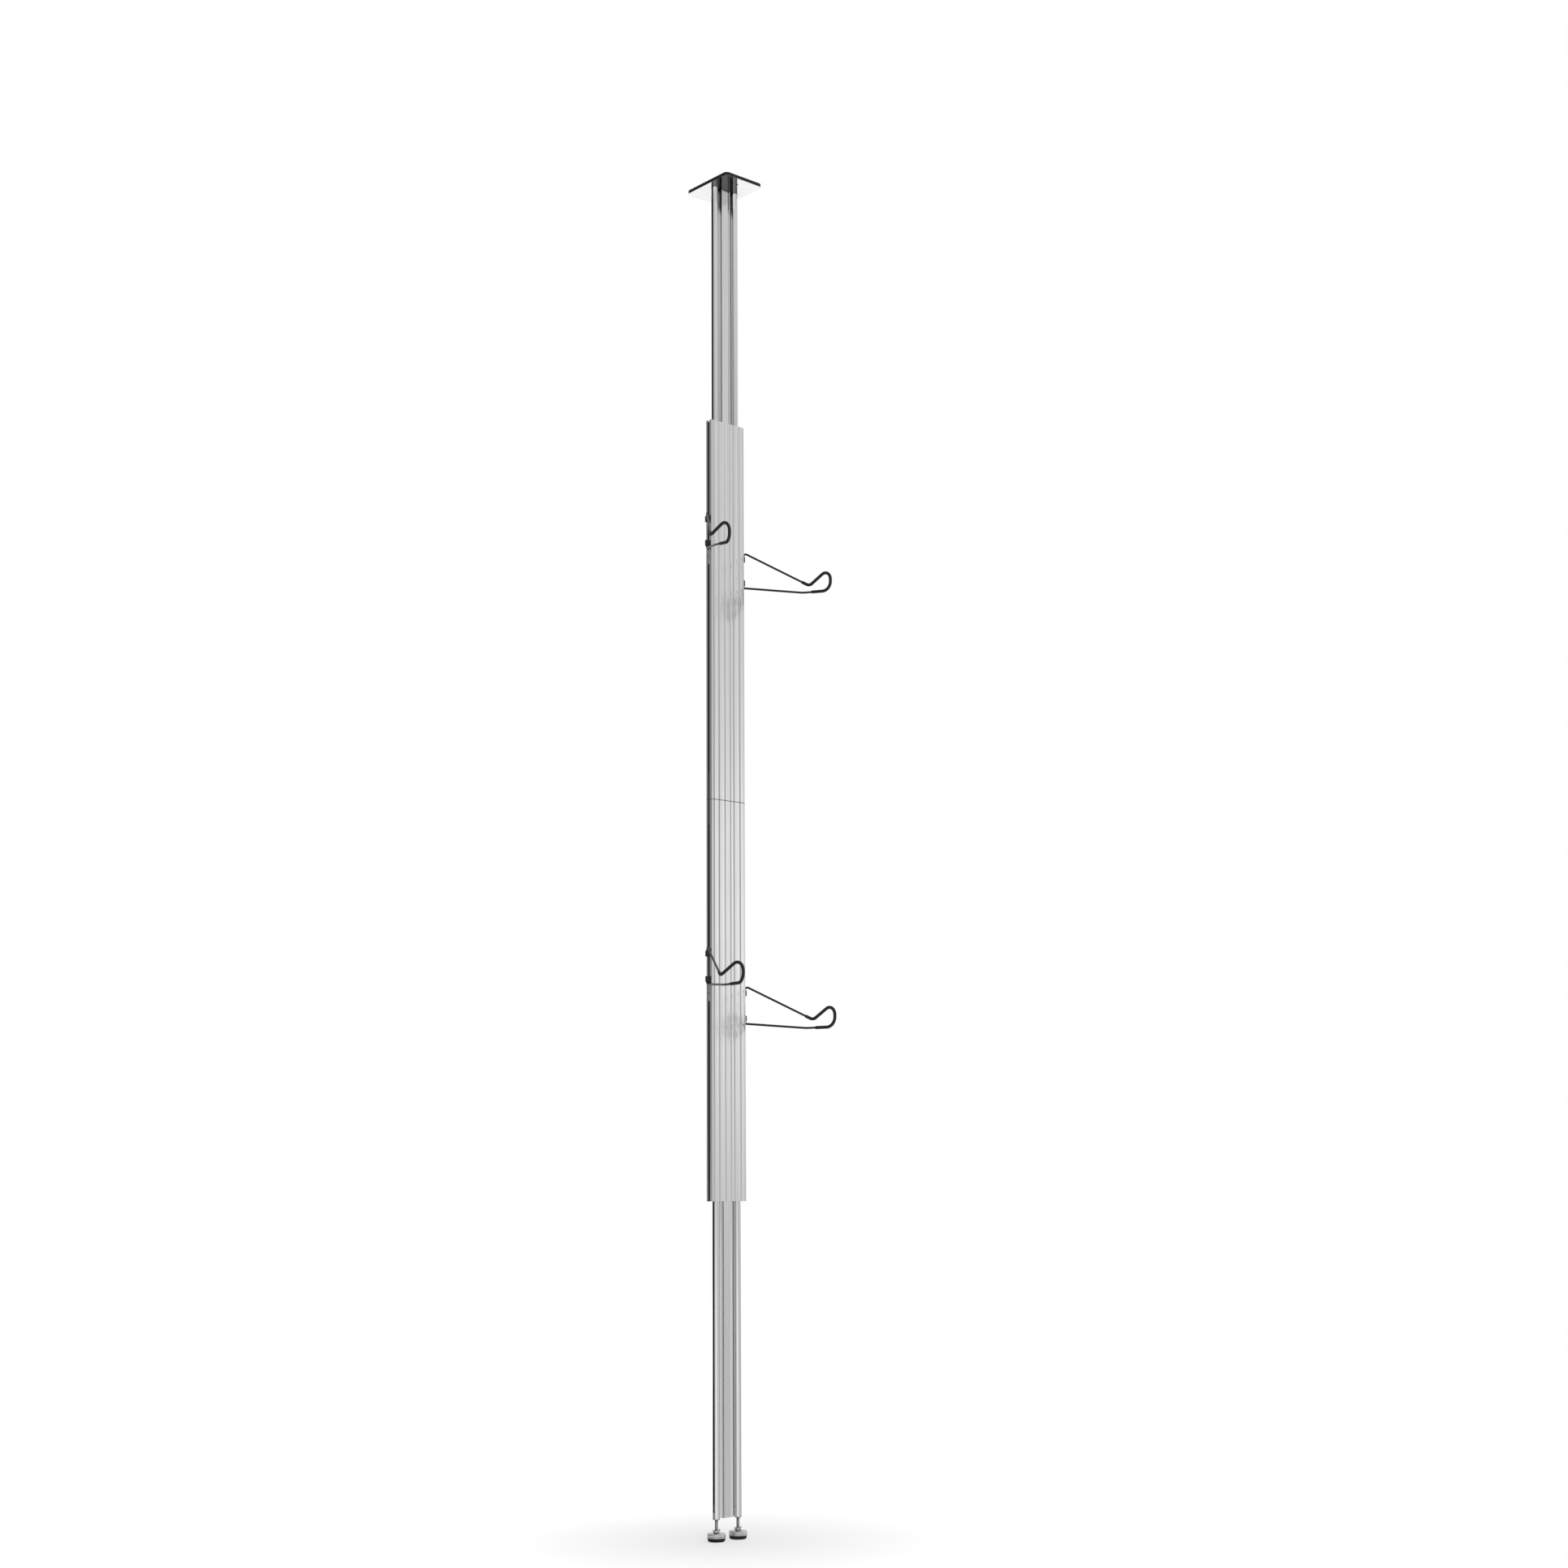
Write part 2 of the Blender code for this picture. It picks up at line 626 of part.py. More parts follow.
def make_lower_rail(body):
    rail = extruded_mesh(
        [rail_outline(), rail_box_outline()], LOWER_RAIL_BOTTOM, LOWER_RAIL_BOTTOM + RAIL_LENGTH
    )
    add_piece("lower_rail", rail, "silver", body)
    outside = LOBE_BORE - INSERT_CLEARANCE
    inside = ROD_RADIUS + ROD_CLEARANCE
    seat = LOWER_RAIL_BOTTOM - GAP
    top = seat + FOOT_INSERT_LENGTH
    key_low = LOWER_RAIL_BOTTOM + GAP
    for name, side in SIDES.items():
        place = (side * LOBE_SPREAD, 0, 0)
        insert = turn_profile(
            f"foot_insert_{name}",
            [
                (outside, top),
                (outside, seat),
                (LOBE_RADIUS, seat),
                (LOBE_RADIUS, seat - FOOT_FLANGE_EDGE),
                (LOBE_RADIUS * 0.85, seat - FOOT_FLANGE_HEIGHT * 0.8),
                (LOBE_RADIUS * 0.65, seat - FOOT_FLANGE_HEIGHT),
                (inside, seat - FOOT_FLANGE_HEIGHT),
                (inside, top),
            ],
            "zinc",
            body,
            place,
            closed=True,
        )
        key_half = LOBE_SLOT / 2 - INSERT_CLEARANCE
        low, high = sorted((side * (inside + GAP), side * (LOBE_RADIUS - INSERT_CLEARANCE)))
        key = box_mesh((low, -key_half, key_low), (high, key_half, key_low + FOOT_KEY_HEIGHT))
        join(insert, add_cutter(f"foot_key_{name}", key, body, place))


def make_foot(name, foot, screw):
    """One levelling foot: the pad and disc stay level while the rod and its wings turn."""
    turn_profile(
        f"foot_pad_{name}",
        [
            (0, FOOT_PAD_HEIGHT),
            (FOOT_PAD_RADIUS * 0.97, FOOT_PAD_HEIGHT),
            (FOOT_PAD_RADIUS, FOOT_PAD_HEIGHT * 0.85),
            (FOOT_PAD_RADIUS * 0.98, FOOT_PAD_HEIGHT * 0.45),
            (FOOT_PAD_RADIUS * 0.93, FOOT_PAD_HEIGHT * 0.15),
            (FOOT_PAD_FLAT_RADIUS, 0),
            (0, 0),
        ],
        "black_rubber",
        foot,
    )
    low = FOOT_PAD_HEIGHT + GAP
    bore = ROD_RADIUS + ROD_CLEARANCE
    floor = low + DISC_FLOOR
    body_radius = DISC_RADIUS - DISC_RIM_STEP
    turn_profile(
        f"foot_disc_{name}",
        [
            (bore, FOOT_STACK),
            (body_radius - DISC_RIM_STEP, FOOT_STACK),
            (body_radius, FOOT_STACK - DISC_RIM_STEP),
            (body_radius, low + DISC_RIM_HEIGHT),
            (DISC_RADIUS, low + DISC_RIM_HEIGHT - DISC_RIM_STEP),
            (DISC_RADIUS, low + DISC_RIM_STEP),
            (DISC_RADIUS - DISC_RIM_STEP, low),
            (0, low),
            (0, floor),
            (bore, floor),
        ],
        "bright",
        foot,
        closed=True,
    )
    rod_low = floor + GAP
    rod_high = LOWER_RAIL_BOTTOM + FOOT_INSERT_LENGTH + ROD_RESERVE
    chamfer = ROD_RADIUS / 4
    turn_profile(
        f"foot_rod_{name}",
        [
            (0, rod_high),
            (ROD_RADIUS - chamfer, rod_high),
            (ROD_RADIUS, rod_high - chamfer),
            (ROD_RADIUS, rod_low),
            (0, rod_low),
        ],
        "zinc",
        screw,
    )
    make_wing_nut(f"wing_nut_{name}", screw)


def make_wing_nut(name, screw):
    """A round hub with two wings that flare up and out."""
    low = FOOT_STACK + GAP
    hub = rod_mesh(WING_HUB_RADIUS, low, low + WING_HUB_HEIGHT)
    nut = add_piece(name, hub, "zinc", screw)
    hub_edge = WING_HUB_RADIUS - WING_THICKNESS / 2
    tip = WING_SPAN / 2
    shoulder = (hub_edge + tip) / 2
    wing = [
        (hub_edge, low + WING_HUB_HEIGHT * 0.25),
        (shoulder, low + WING_HUB_HEIGHT * 0.45),
        (tip, low + WING_HEIGHT * 0.72),
        (tip, low + WING_HEIGHT * 0.93),
        (tip - WING_THICKNESS / 3, low + WING_HEIGHT),
        (shoulder, low + WING_HEIGHT * 0.94),
        (hub_edge, low + WING_HUB_HEIGHT * 0.9),
    ]
    upright = Matrix.Rotation(pi / 2, 4, "X")
    for wing_name, side in SIDES.items():
        outline = [(side * x, z) for x, z in wing]
        mesh = extruded_mesh([outline], -WING_THICKNESS / 2, WING_THICKNESS / 2)
        mesh.transform(upright)
        join(nut, add_cutter(f"{name}_wing_{wing_name}", mesh, screw))
    bore = rod_mesh(ROD_RADIUS + ROD_CLEARANCE, low - GAP, low + WING_HEIGHT + GAP)
    cut(nut, add_cutter(f"{name}_bore", bore, screw))


def slider_outline(side):
    """The T-bar's section without lugs."""
    outer = SLOT_OUTER - SLIDER_CLEARANCE
    half_depth = SLOT_HALF_DEPTH - SLIDER_CLEARANCE
    inner = SLOT_INNER + SLIDER_CLEARANCE
    return sorted((side * inner, side * outer)), half_depth


def lug_outline(side):
    """A neck through the slot's mouth and a round-nosed lug about the hinge axis."""
    face = SLEEVE_WIDTH / 2 + SLIDER_CLEARANCE
    neck = SLOT_MOUTH / 2 - SLIDER_CLEARANCE
    nose = arc((HINGE_X, 0), LUG_RADIUS, 90, -90, 8)
    points = [(SLOT_MIDDLE, neck), (face, neck), (face, LUG_RADIUS)]
    points += nose + [(face, -LUG_RADIUS), (face, -neck), (SLOT_MIDDLE, -neck)]
    return [(side * x, y) for x, y in points]


def make_slider(name, slider, side):
    """A T-bar with two lugs, and under it a clamp bar with its screw."""
    (low, high), half_depth = slider_outline(side)
    bottom = -SLIDER_DROP
    bar = box_mesh((low, -half_depth, bottom), (high, half_depth, bottom + SLIDER_LENGTH))
    bar = add_piece(f"arm_slider_{name}", bar, "black_wire", slider)
    upper_setback, lower_setback = tail_setbacks()
    lugs = {
        "lower": lower_setback + HINGE_CLEARANCE,
        "upper": HOOK_HEIGHT - upper_setback - HINGE_CLEARANCE - LUG_HEIGHT,
    }
    for lug_name, height in lugs.items():
        lug = extruded_mesh([lug_outline(side)], height, height + LUG_HEIGHT)
        join(bar, add_cutter(f"lug_{lug_name}_{name}", lug, slider))
    for lug_name, height in lugs.items():
        hole = rod_mesh(WIRE_RADIUS + HINGE_CLEARANCE, height - GAP, height + LUG_HEIGHT + GAP)
        place = (side * HINGE_X, 0, 0)
        cut(bar, add_cutter(f"hinge_hole_{lug_name}_{name}", hole, slider, place))

    clamp_high = bottom - CLAMP_GAP
    clamp_low = clamp_high - CLAMP_LENGTH
    clamp = box_mesh((low, -half_depth, clamp_low), (high, half_depth, clamp_high))
    clamp = add_piece(f"slider_clamp_{name}", clamp, "bright", slider)
    rib_half = SLOT_MOUTH / 2 - SLIDER_CLEARANCE
    rib_out = SLEEVE_WIDTH / 2 - CLAMP_RIB_RECESS
    rib_low, rib_high = sorted((side * SLOT_MIDDLE, side * rib_out))
    rib = box_mesh((rib_low, -rib_half, clamp_low), (rib_high, rib_half, clamp_high))
    join(clamp, add_cutter(f"clamp_rib_{name}", rib, slider))
    screw_name = f"clamp_screw_{name}"
    place = (0, 0, (clamp_low + clamp_high) / 2)
    bore_for_grub(clamp, screw_name, slider, place, side)
    inner = SLOT_INNER + GAP
    add_grub_screw(screw_name, slider, place, side, inner, rib_out - GRUB_RECESS)


def make_hook(name, arm, side, lift):
    """The bent wire with both tails in the lugs, and the soft grip over its dip and loop."""
    route, covered = hook_route(side, lift)
    add_piece(f"arm_wire_{name}", tube_curve(route, WIRE_RADIUS), "black_wire", arm)
    outside = WIRE_RADIUS + GRIP_CLEARANCE + GRIP_WALL
    skin = mesh_of_curve(tube_curve(covered, outside, capped=False), Matrix.Identity(4))
    grip = add_piece(f"arm_grip_{name}", skin, "black_rubber", arm)
    wall = grip.modifiers.new("wall", "SOLIDIFY")
    wall.thickness = GRIP_WALL
    wall.offset = -1.0
    wall.use_even_offset = True


def make_stand():
    floor = new_empty("floor", None, (0, 0, -INSTALLED_HEIGHT))
    make_head(new_empty("head", floor, (0, 0, 0)))
    column = new_empty("column", floor, (0, 0, 0))
    make_column(column)
    lower_rail = new_empty("lower_rail_body", column, (0, 0, 0))
    make_lower_rail(lower_rail)
    for name, side in SIDES.items():
        foot = new_empty(f"foot_{name}", lower_rail, (side * LOBE_SPREAD, 0, 0))
        screw = new_empty(f"foot_screw_{name}", foot, (0, 0, 0))
        make_foot(name, foot, screw)
    for name, (side, height, lift, swing) in HOOKS.items():
        slider = new_empty(f"slider_{name}", column, (0, 0, height))
        make_slider(name, slider, side)
        arm = new_empty(f"arm_{name}", slider, (side * HINGE_X, 0, 0), turn=-side * swing)
        make_hook(name, arm, side, lift)


make_stand()
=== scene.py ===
"""Looks for the bike stand: finishes, fine pieces, camera, floor and light.

Metres, +Z up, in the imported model's frame: the ceiling face is at z = 0 and the hooks point to -Y.
"""

import json
from math import cos, pi, radians, sin, sqrt, tan

import bmesh
import bpy
from mathutils import Matrix, Vector


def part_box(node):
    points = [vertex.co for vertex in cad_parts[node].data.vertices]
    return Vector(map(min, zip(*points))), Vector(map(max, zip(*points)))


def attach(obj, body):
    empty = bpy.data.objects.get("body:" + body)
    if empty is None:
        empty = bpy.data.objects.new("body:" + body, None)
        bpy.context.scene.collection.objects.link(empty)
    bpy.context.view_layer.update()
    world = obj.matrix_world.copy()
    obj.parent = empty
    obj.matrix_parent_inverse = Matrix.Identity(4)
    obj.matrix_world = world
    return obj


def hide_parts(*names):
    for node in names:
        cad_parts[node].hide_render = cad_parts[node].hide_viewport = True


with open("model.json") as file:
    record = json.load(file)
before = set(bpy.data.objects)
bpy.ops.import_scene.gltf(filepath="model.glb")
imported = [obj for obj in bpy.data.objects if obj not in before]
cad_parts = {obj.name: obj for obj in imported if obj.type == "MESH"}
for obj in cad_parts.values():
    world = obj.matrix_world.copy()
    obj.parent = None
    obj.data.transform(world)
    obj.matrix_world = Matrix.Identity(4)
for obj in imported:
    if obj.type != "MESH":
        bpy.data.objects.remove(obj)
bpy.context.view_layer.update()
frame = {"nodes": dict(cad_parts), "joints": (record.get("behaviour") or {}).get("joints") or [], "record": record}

SIDES = ("right", "left")
FLOOR_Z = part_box("foot_pad_left")[0].z
SPLICE_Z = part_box("upper_sleeve")[0].z

# Hook wire and grip: places out from the hinge, forward of it and above the lower wire
WIRE_RADIUS = 0.0025
HOOK_HEIGHT = 0.087
TAIL_IN_LUG = 0.011
TAIL_BEND = 0.006
DIP = Vector((0.0955, 0.129, -0.004))
TIP_TOP = Vector((0.0995, 0.199, 0.029))
TIP_BOTTOM = Vector((0.0975, 0.199, -0.029))
LOWER_KNEE = Vector((0.078, 0.125, -0.023))
DIP_BEND = 0.014
TIP_BEND = 0.020
KNEE_BEND = 0.040
GRIP_WALL = 0.0009
GRIP_CLEARANCE = 0.0003
GRIP_LEAD = 0.012
GRIP_TAIL = 0.030

# Each hook: side, how far its tip is bent up, inward swing in degrees
HOOKS = {
    "upper_right": (1, 0.000, 0.0),
    "upper_left": (-1, -0.017, 0.0),
    "lower_right": (1, 0.015, 0.0),
    "lower_left": (-1, 0.015, 7.5),
}

# Thread of the foot rods
THREAD_PITCH = 0.00125
THREAD_DEPTH = 0.00055

# Foot disc: the rods' bore through it, and the flat that the wing nut sits on
FOOT_BORE = 0.0042
WING_SEAT_RADIUS = 0.0068

# The sleeve's T-slots, where shade is painted: how far out from the middle they reach, and half their widths
SLOT_INNER = 0.0405
SLOT_OUTER = 0.0498
SLOT_HALF_WIDTH = 0.0088
MOUTH_HALF_WIDTH = 0.0030
SOFT_STEP = 0.0003
# A painted shade on the sleeve's outermost few millimetres at each side
SHADED_EDGE_FROM = 0.0435
SHADED_EDGE_TO = 0.0445
SHADED_EDGE_TONE = 0.12
JOINT_LINE = 0.0008
JOINT_TONE = 0.75

# The rail's lobes: their middles, their bores and the slots that open them, where shade is painted
LOBE_OUT = 0.031
LOBE_BORE = 0.0066
LOBE_EDGE = 0.0075
LOBE_SLOT_FROM = 0.0030
LOBE_SLOT_TO = 0.0040
# The rail's top end is painted darker for glossy rays only, so its mirror image in the plate is a painted shade
MIRRORED_FROM = -0.07
MIRRORED_TO = -0.05
MIRRORED_PAINTED_SHADE = 0.85

# Looks shared by the materials. A stretch is how fine a pattern is along X, Y and Z.
# The dark colour painted into hollows, slots and bores as shade
PAINTED_SHADE_TONE = 0.03
# The dark colour painted on the plate's upright sides as shade
SIDE_SHADE_TONE = 0.05
STREAK = 0.10
DRAWN_LINES = (2600, 2600, 9)
DRAWN_BANDS = (420, 420, 2.2)
DRAWN_SMUDGES = (1, 1, 0.6)
PLATE_SCUFFS = (1400, 90, 260)

# The floor, a hair below the pads
FLOOR_HALF_SIDE = 12
FLOOR_GAP = 0.0002

# Welding and rounding of the meshes
WELD = 0.000002
SHARP_ANGLE = radians(38)

# The photograph's camera, placed by its distance, height and turn about the column
PHOTO_PIXELS = 1932
FOCAL_PIXELS = 2850
SENSOR_WIDTH = 36.0
COLUMN_PIXEL_X = 891.9
CAMERA_DISTANCE = 5.30
CAMERA_ABOVE_FLOOR = 0.7536
CAMERA_PITCH = radians(10.0)
CAMERA_TURN = radians(41.5)
CAMERA_ROLL = radians(0.377)


def add_camera():
    """The camera stands front left of the column, low, and looks up a little."""
    right = Vector((cos(CAMERA_TURN), -sin(CAMERA_TURN), 0))
    back = Vector((-sin(CAMERA_TURN), -cos(CAMERA_TURN), 0))
    off_axis = (COLUMN_PIXEL_X - PHOTO_PIXELS / 2) / FOCAL_PIXELS
    place = back * CAMERA_DISTANCE - right * off_axis * CAMERA_DISTANCE * cos(CAMERA_PITCH)
    place.z = FLOOR_Z + CAMERA_ABOVE_FLOOR
    forward = -back * cos(CAMERA_PITCH) + Vector((0, 0, sin(CAMERA_PITCH)))
    up = right.cross(forward)
    turned_right = right * cos(CAMERA_ROLL) - up * sin(CAMERA_ROLL)
    turned_up = up * cos(CAMERA_ROLL) + right * sin(CAMERA_ROLL)
    matrix = Matrix((turned_right, turned_up, -forward)).transposed().to_4x4()
    matrix.translation = place
    lens = bpy.data.cameras.new("camera")
    lens.sensor_width = SENSOR_WIDTH
    lens.lens = FOCAL_PIXELS / PHOTO_PIXELS * SENSOR_WIDTH
    lens.clip_end = 60
    made = bpy.data.objects.new("camera", lens)
    bpy.context.scene.collection.objects.link(made)
    made.matrix_world = matrix
    bpy.context.scene.camera = made


class Nodes:
    """A short way to write a material's nodes."""

    def __init__(self, tree):
        self.tree = tree

    def add(self, kind, inputs=None, **settings):
        node = self.tree.nodes.new(kind)
        for name, value in settings.items():
            setattr(node, name, value)
        for name, value in (inputs or {}).items():
            if isinstance(value, bpy.types.NodeSocket):
                self.tree.links.new(value, node.inputs[name])
            else:
                node.inputs[name].default_value = value
        return node

    def math(self, operation, first, second=0.0):
        return self.add("ShaderNodeMath", {0: first, 1: second}, operation=operation).outputs[0]

    def noise(self, vector, scale, stretch=(1, 1, 1), detail=3.0, roughness=0.5):
        mapped = self.add("ShaderNodeMapping", {"Vector": vector, "Scale": stretch})
        settings = {"Vector": mapped.outputs[0], "Scale": scale, "Detail": detail, "Roughness": roughness}
        return self.add("ShaderNodeTexNoise", settings).outputs["Fac"]

    def spread(self, value, low, high, to_low, to_high):
        settings = {"Value": value, "From Min": low, "From Max": high, "To Min": to_low, "To Max": to_high}
        return self.add("ShaderNodeMapRange", settings).outputs["Result"]

    def blend(self, factor, first, second):
        node = self.add("ShaderNodeMix", {"Factor": factor}, data_type="RGBA")
        for socket, value in ((node.inputs[6], first), (node.inputs[7], second)):
            if isinstance(value, bpy.types.NodeSocket):
                self.tree.links.new(value, socket)
            else:
                socket.default_value = value
        return node.outputs[2]

    def hollows(self, distance, deepest, open_from):
        """0 in the open and 1 deep in a hollow."""
        seen = self.add("ShaderNodeAmbientOcclusion", {"Distance": distance}, samples=6).outputs["AO"]
        return self.spread(seen, open_from, deepest, 0.0, 1.0)

    def edges(self, radius):
        """Near 1 along a piece's edges and 0 on its faces."""
        rounded = self.add("ShaderNodeBevel", {"Radius": radius}, samples=4).outputs["Normal"]
        flat = self.add("ShaderNodeNewGeometry").outputs["Normal"]
        facing = self.add("ShaderNodeVectorMath", {0: rounded, 1: flat}, operation="DOT_PRODUCT")
        return self.spread(facing.outputs["Value"], 0.97, 0.75, 0.0, 1.0), rounded


def grey(level):
    return (level, level, level, 1.0)


def new_material(name):
    made = bpy.data.materials.new(name)
    made.use_nodes = True
    nodes = Nodes(made.node_tree)
    shader = made.node_tree.nodes["Principled BSDF"]
    place = nodes.add("ShaderNodeTexCoord").outputs["Object"]
    return made, nodes, shader, place


def finish_surface(nodes, shader, color, roughness, height, strength, distance, rounded=None):
    link = nodes.tree.links.new
    link(color, shader.inputs["Base Color"])
    link(roughness, shader.inputs["Roughness"])
    settings = {"Height": height, "Strength": strength, "Distance": distance}
    if rounded is not None:
        settings["Normal"] = rounded
    link(nodes.add("ShaderNodeBump", settings).outputs["Normal"], shader.inputs["Normal"])


def slot_painted_shade(nodes, place):
    """How much shade is painted: 1 in the sleeve's T-slots and their mouths, less on the dark line where two
    sleeves meet, and a light painted shade at the outer edges.
    """
    split = nodes.add("ShaderNodeSeparateXYZ", {0: place}).outputs
    out = nodes.math("ABSOLUTE", split["X"])
    # Painted shade inside the T-slots and their mouths
    inward = nodes.spread(out, SLOT_INNER, SLOT_INNER + SOFT_STEP, 0.0, 1.0)
    outward = nodes.spread(out, SLOT_OUTER, SLOT_OUTER - 0.0004, 0.0, 1.0)
    off = nodes.math("ABSOLUTE", split["Y"])
    across = nodes.spread(off, SLOT_HALF_WIDTH, SLOT_HALF_WIDTH - SOFT_STEP, 0.0, 1.0)
    room = nodes.math("MULTIPLY", nodes.math("MULTIPLY", inward, outward), across)
    in_mouth = nodes.spread(off, MOUTH_HALF_WIDTH, MOUTH_HALF_WIDTH - 0.0002, 0.0, 1.0)
    mouth = nodes.math("MULTIPLY", inward, in_mouth)
    joint = nodes.math("ABSOLUTE", nodes.math("SUBTRACT", split["Z"], SPLICE_Z))
    joint = nodes.spread(joint, JOINT_LINE + SOFT_STEP, JOINT_LINE, 0.0, JOINT_TONE)
    # Painted shade, about a tenth darker, on the sleeve's outer edges
    painted_edge_shade = nodes.spread(out, SHADED_EDGE_FROM, SHADED_EDGE_TO, 0.0, SHADED_EDGE_TONE)
    slots = nodes.math("MAXIMUM", room, mouth)
    lines = nodes.math("MAXIMUM", joint, painted_edge_shade)
    return nodes.math("MAXIMUM", slots, lines)


def lobe_painted_shade(nodes, place):
    """How much shade is painted: 1 inside the rail's two slotted lobes and their slots, and a painted shade on the
    rail's top end where the plate mirrors it.
    """
    split = nodes.add("ShaderNodeSeparateXYZ", {0: place}).outputs
    off = nodes.math("SUBTRACT", nodes.math("ABSOLUTE", split["X"]), LOBE_OUT)
    reach = nodes.add("ShaderNodeCombineXYZ", {0: off, 1: split["Y"]}).outputs[0]
    reach = nodes.add("ShaderNodeVectorMath", {0: reach}, operation="LENGTH").outputs["Value"]
    # Painted shade inside the lobes' bores and in their slots
    bore = nodes.spread(reach, LOBE_EDGE, LOBE_BORE, 0.0, 1.0)
    near_middle = nodes.math("ABSOLUTE", split["Y"])
    slot = nodes.spread(near_middle, MOUTH_HALF_WIDTH, MOUTH_HALF_WIDTH - 0.0002, 0.0, 1.0)
    slot = nodes.math("MULTIPLY", slot, nodes.spread(off, LOBE_SLOT_FROM, LOBE_SLOT_TO, 0.0, 1.0))
    # Painted shade on the rail's top end, seen only in its mirror image
    top_end = nodes.spread(split["Z"], MIRRORED_FROM, MIRRORED_TO, 0.0, MIRRORED_PAINTED_SHADE)
    glossy = nodes.add("ShaderNodeLightPath").outputs["Is Glossy Ray"]
    mirror_painted_shade = nodes.math("MULTIPLY", glossy, top_end)
    return nodes.math("MAXIMUM", nodes.math("MAXIMUM", bore, slot), mirror_painted_shade)


def drawn_metal(name, level, rough, edge_radius, inside, tint):
    """Extruded and anodised metal: fine lines along its length, smudges, bright edges, and painted shade in its
    hollows, slots and bores.
    """
    made, nodes, shader, place = new_material(name)
    shader.inputs["Metallic"].default_value = 1.0
    lines = nodes.noise(place, 1.0, DRAWN_LINES, detail=4.0, roughness=0.6)
    bands = nodes.noise(place, 1.0, DRAWN_BANDS, detail=3.0)
    smudges = nodes.noise(place, 7.0, DRAWN_SMUDGES, detail=5.0, roughness=0.6)
    wear, rounded = nodes.edges(edge_radius)
    body = (level * tint[0], level * tint[1], level * tint[2], 1.0)
    dull = tuple(part * (1 - STREAK) for part in body[:3]) + (1.0,)
    color = nodes.blend(nodes.spread(bands, 0.35, 0.65, 0.0, 1.0), dull, body)
    color = nodes.blend(nodes.math("MULTIPLY", wear, 0.35), color, grey(min(1.0, level * 1.12)))
    # Painted shade: darker where ambient occlusion finds a hollow, and in the slots and bores that the inside mask
    # gives
    painted_shade = nodes.math("MULTIPLY", nodes.hollows(0.004, 0.10, 0.60), 0.5)
    painted_shade = nodes.math("MAXIMUM", painted_shade, nodes.math("MULTIPLY", inside(nodes, place), 0.94))
    color = nodes.blend(painted_shade, color, grey(PAINTED_SHADE_TONE))
    roughness = nodes.spread(smudges, 0.3, 0.7, rough * 0.85, rough * 1.2)
    roughness = nodes.math("ADD", roughness, nodes.spread(lines, 0.3, 0.7, -0.03, 0.03))
    height = nodes.math("ADD", lines, nodes.math("MULTIPLY", bands, 0.6))
    finish_surface(nodes, shader, color, roughness, height, 0.10, 0.00006, rounded)
    return made


def plated_metal(name, level, rough, edge_radius, tint=(1.0, 1.0, 1.0), grime=0.12, shaded_sides=False):
    """Bright plate or zinc: cloudy, lightly scuffed, with painted shade in its hollows and, when asked, on its
    upright sides.
    """
    made, nodes, shader, place = new_material(name)
    shader.inputs["Metallic"].default_value = 1.0
    clouds = nodes.noise(place, 45.0, detail=5.0, roughness=0.6)
    grain = nodes.noise(place, 1800.0, detail=2.0)
    scuffs = nodes.noise(place, 1.0, PLATE_SCUFFS, detail=4.0, roughness=0.7)
    wear, rounded = nodes.edges(edge_radius)
    body = (level * tint[0], level * tint[1], level * tint[2], 1.0)
    dull = tuple(part * (1 - grime) for part in body[:3]) + (1.0,)
    color = nodes.blend(nodes.spread(clouds, 0.35, 0.65, 0.0, 1.0), dull, body)
    color = nodes.blend(nodes.math("MULTIPLY", wear, 0.4), color, grey(min(1.0, level * 1.1)))
    # Painted shade: darker where ambient occlusion finds a hollow
    color = nodes.blend(nodes.hollows(0.02, 0.35, 0.70), color, grey(PAINTED_SHADE_TONE))
    if shaded_sides:
        # Painted shade: faces that stand upright are painted dark
        facing = nodes.add("ShaderNodeNewGeometry").outputs["Normal"]
        facing = nodes.add("ShaderNodeSeparateXYZ", {0: facing}).outputs["Z"]
        facing = nodes.math("ABSOLUTE", facing)
        color = nodes.blend(nodes.spread(facing, 0.55, 0.25, 0.0, 1.0), color, grey(SIDE_SHADE_TONE))
    roughness = nodes.spread(clouds, 0.3, 0.7, rough * 1.3, rough * 0.8)
    roughness = nodes.math("ADD", roughness, nodes.spread(scuffs, 0.55, 0.8, 0.0, 0.06))
    finish_surface(nodes, shader, color, roughness, grain, 0.05, 0.00005, rounded)
    return made


def black_finish(name, level, rough, grain_size, grain_depth, worn, edge_radius, coat=0.0):
    """Black coating, plastic or rubber: a fine grain, patches of wear and paler edges."""
    made, nodes, shader, place = new_material(name)
    shader.inputs["Coat Weight"].default_value = coat
    shader.inputs["Coat Roughness"].default_value = 0.25
    grain = nodes.noise(place, 1.0 / grain_size, detail=2.0)
    patches = nodes.noise(place, 60.0, detail=5.0, roughness=0.65)
    dust = nodes.noise(place, 260.0, detail=4.0, roughness=0.7)
    wear, rounded = nodes.edges(edge_radius)
    color = nodes.blend(nodes.spread(patches, 0.35, 0.7, 0.0, 1.0), grey(level * 0.75), grey(level * 1.25))
    color = nodes.blend(nodes.spread(dust, 0.62, 0.8, 0.0, 0.5), color, grey(level * 2.2))
    color = nodes.blend(nodes.math("MULTIPLY", wear, worn), color, grey(min(1.0, level * 4 + 0.04)))
    roughness = nodes.spread(patches, 0.3, 0.7, rough * 0.85, min(1.0, rough * 1.12))
    finish_surface(nodes, shader, color, roughness, grain, 0.35, grain_depth, rounded)
    return made


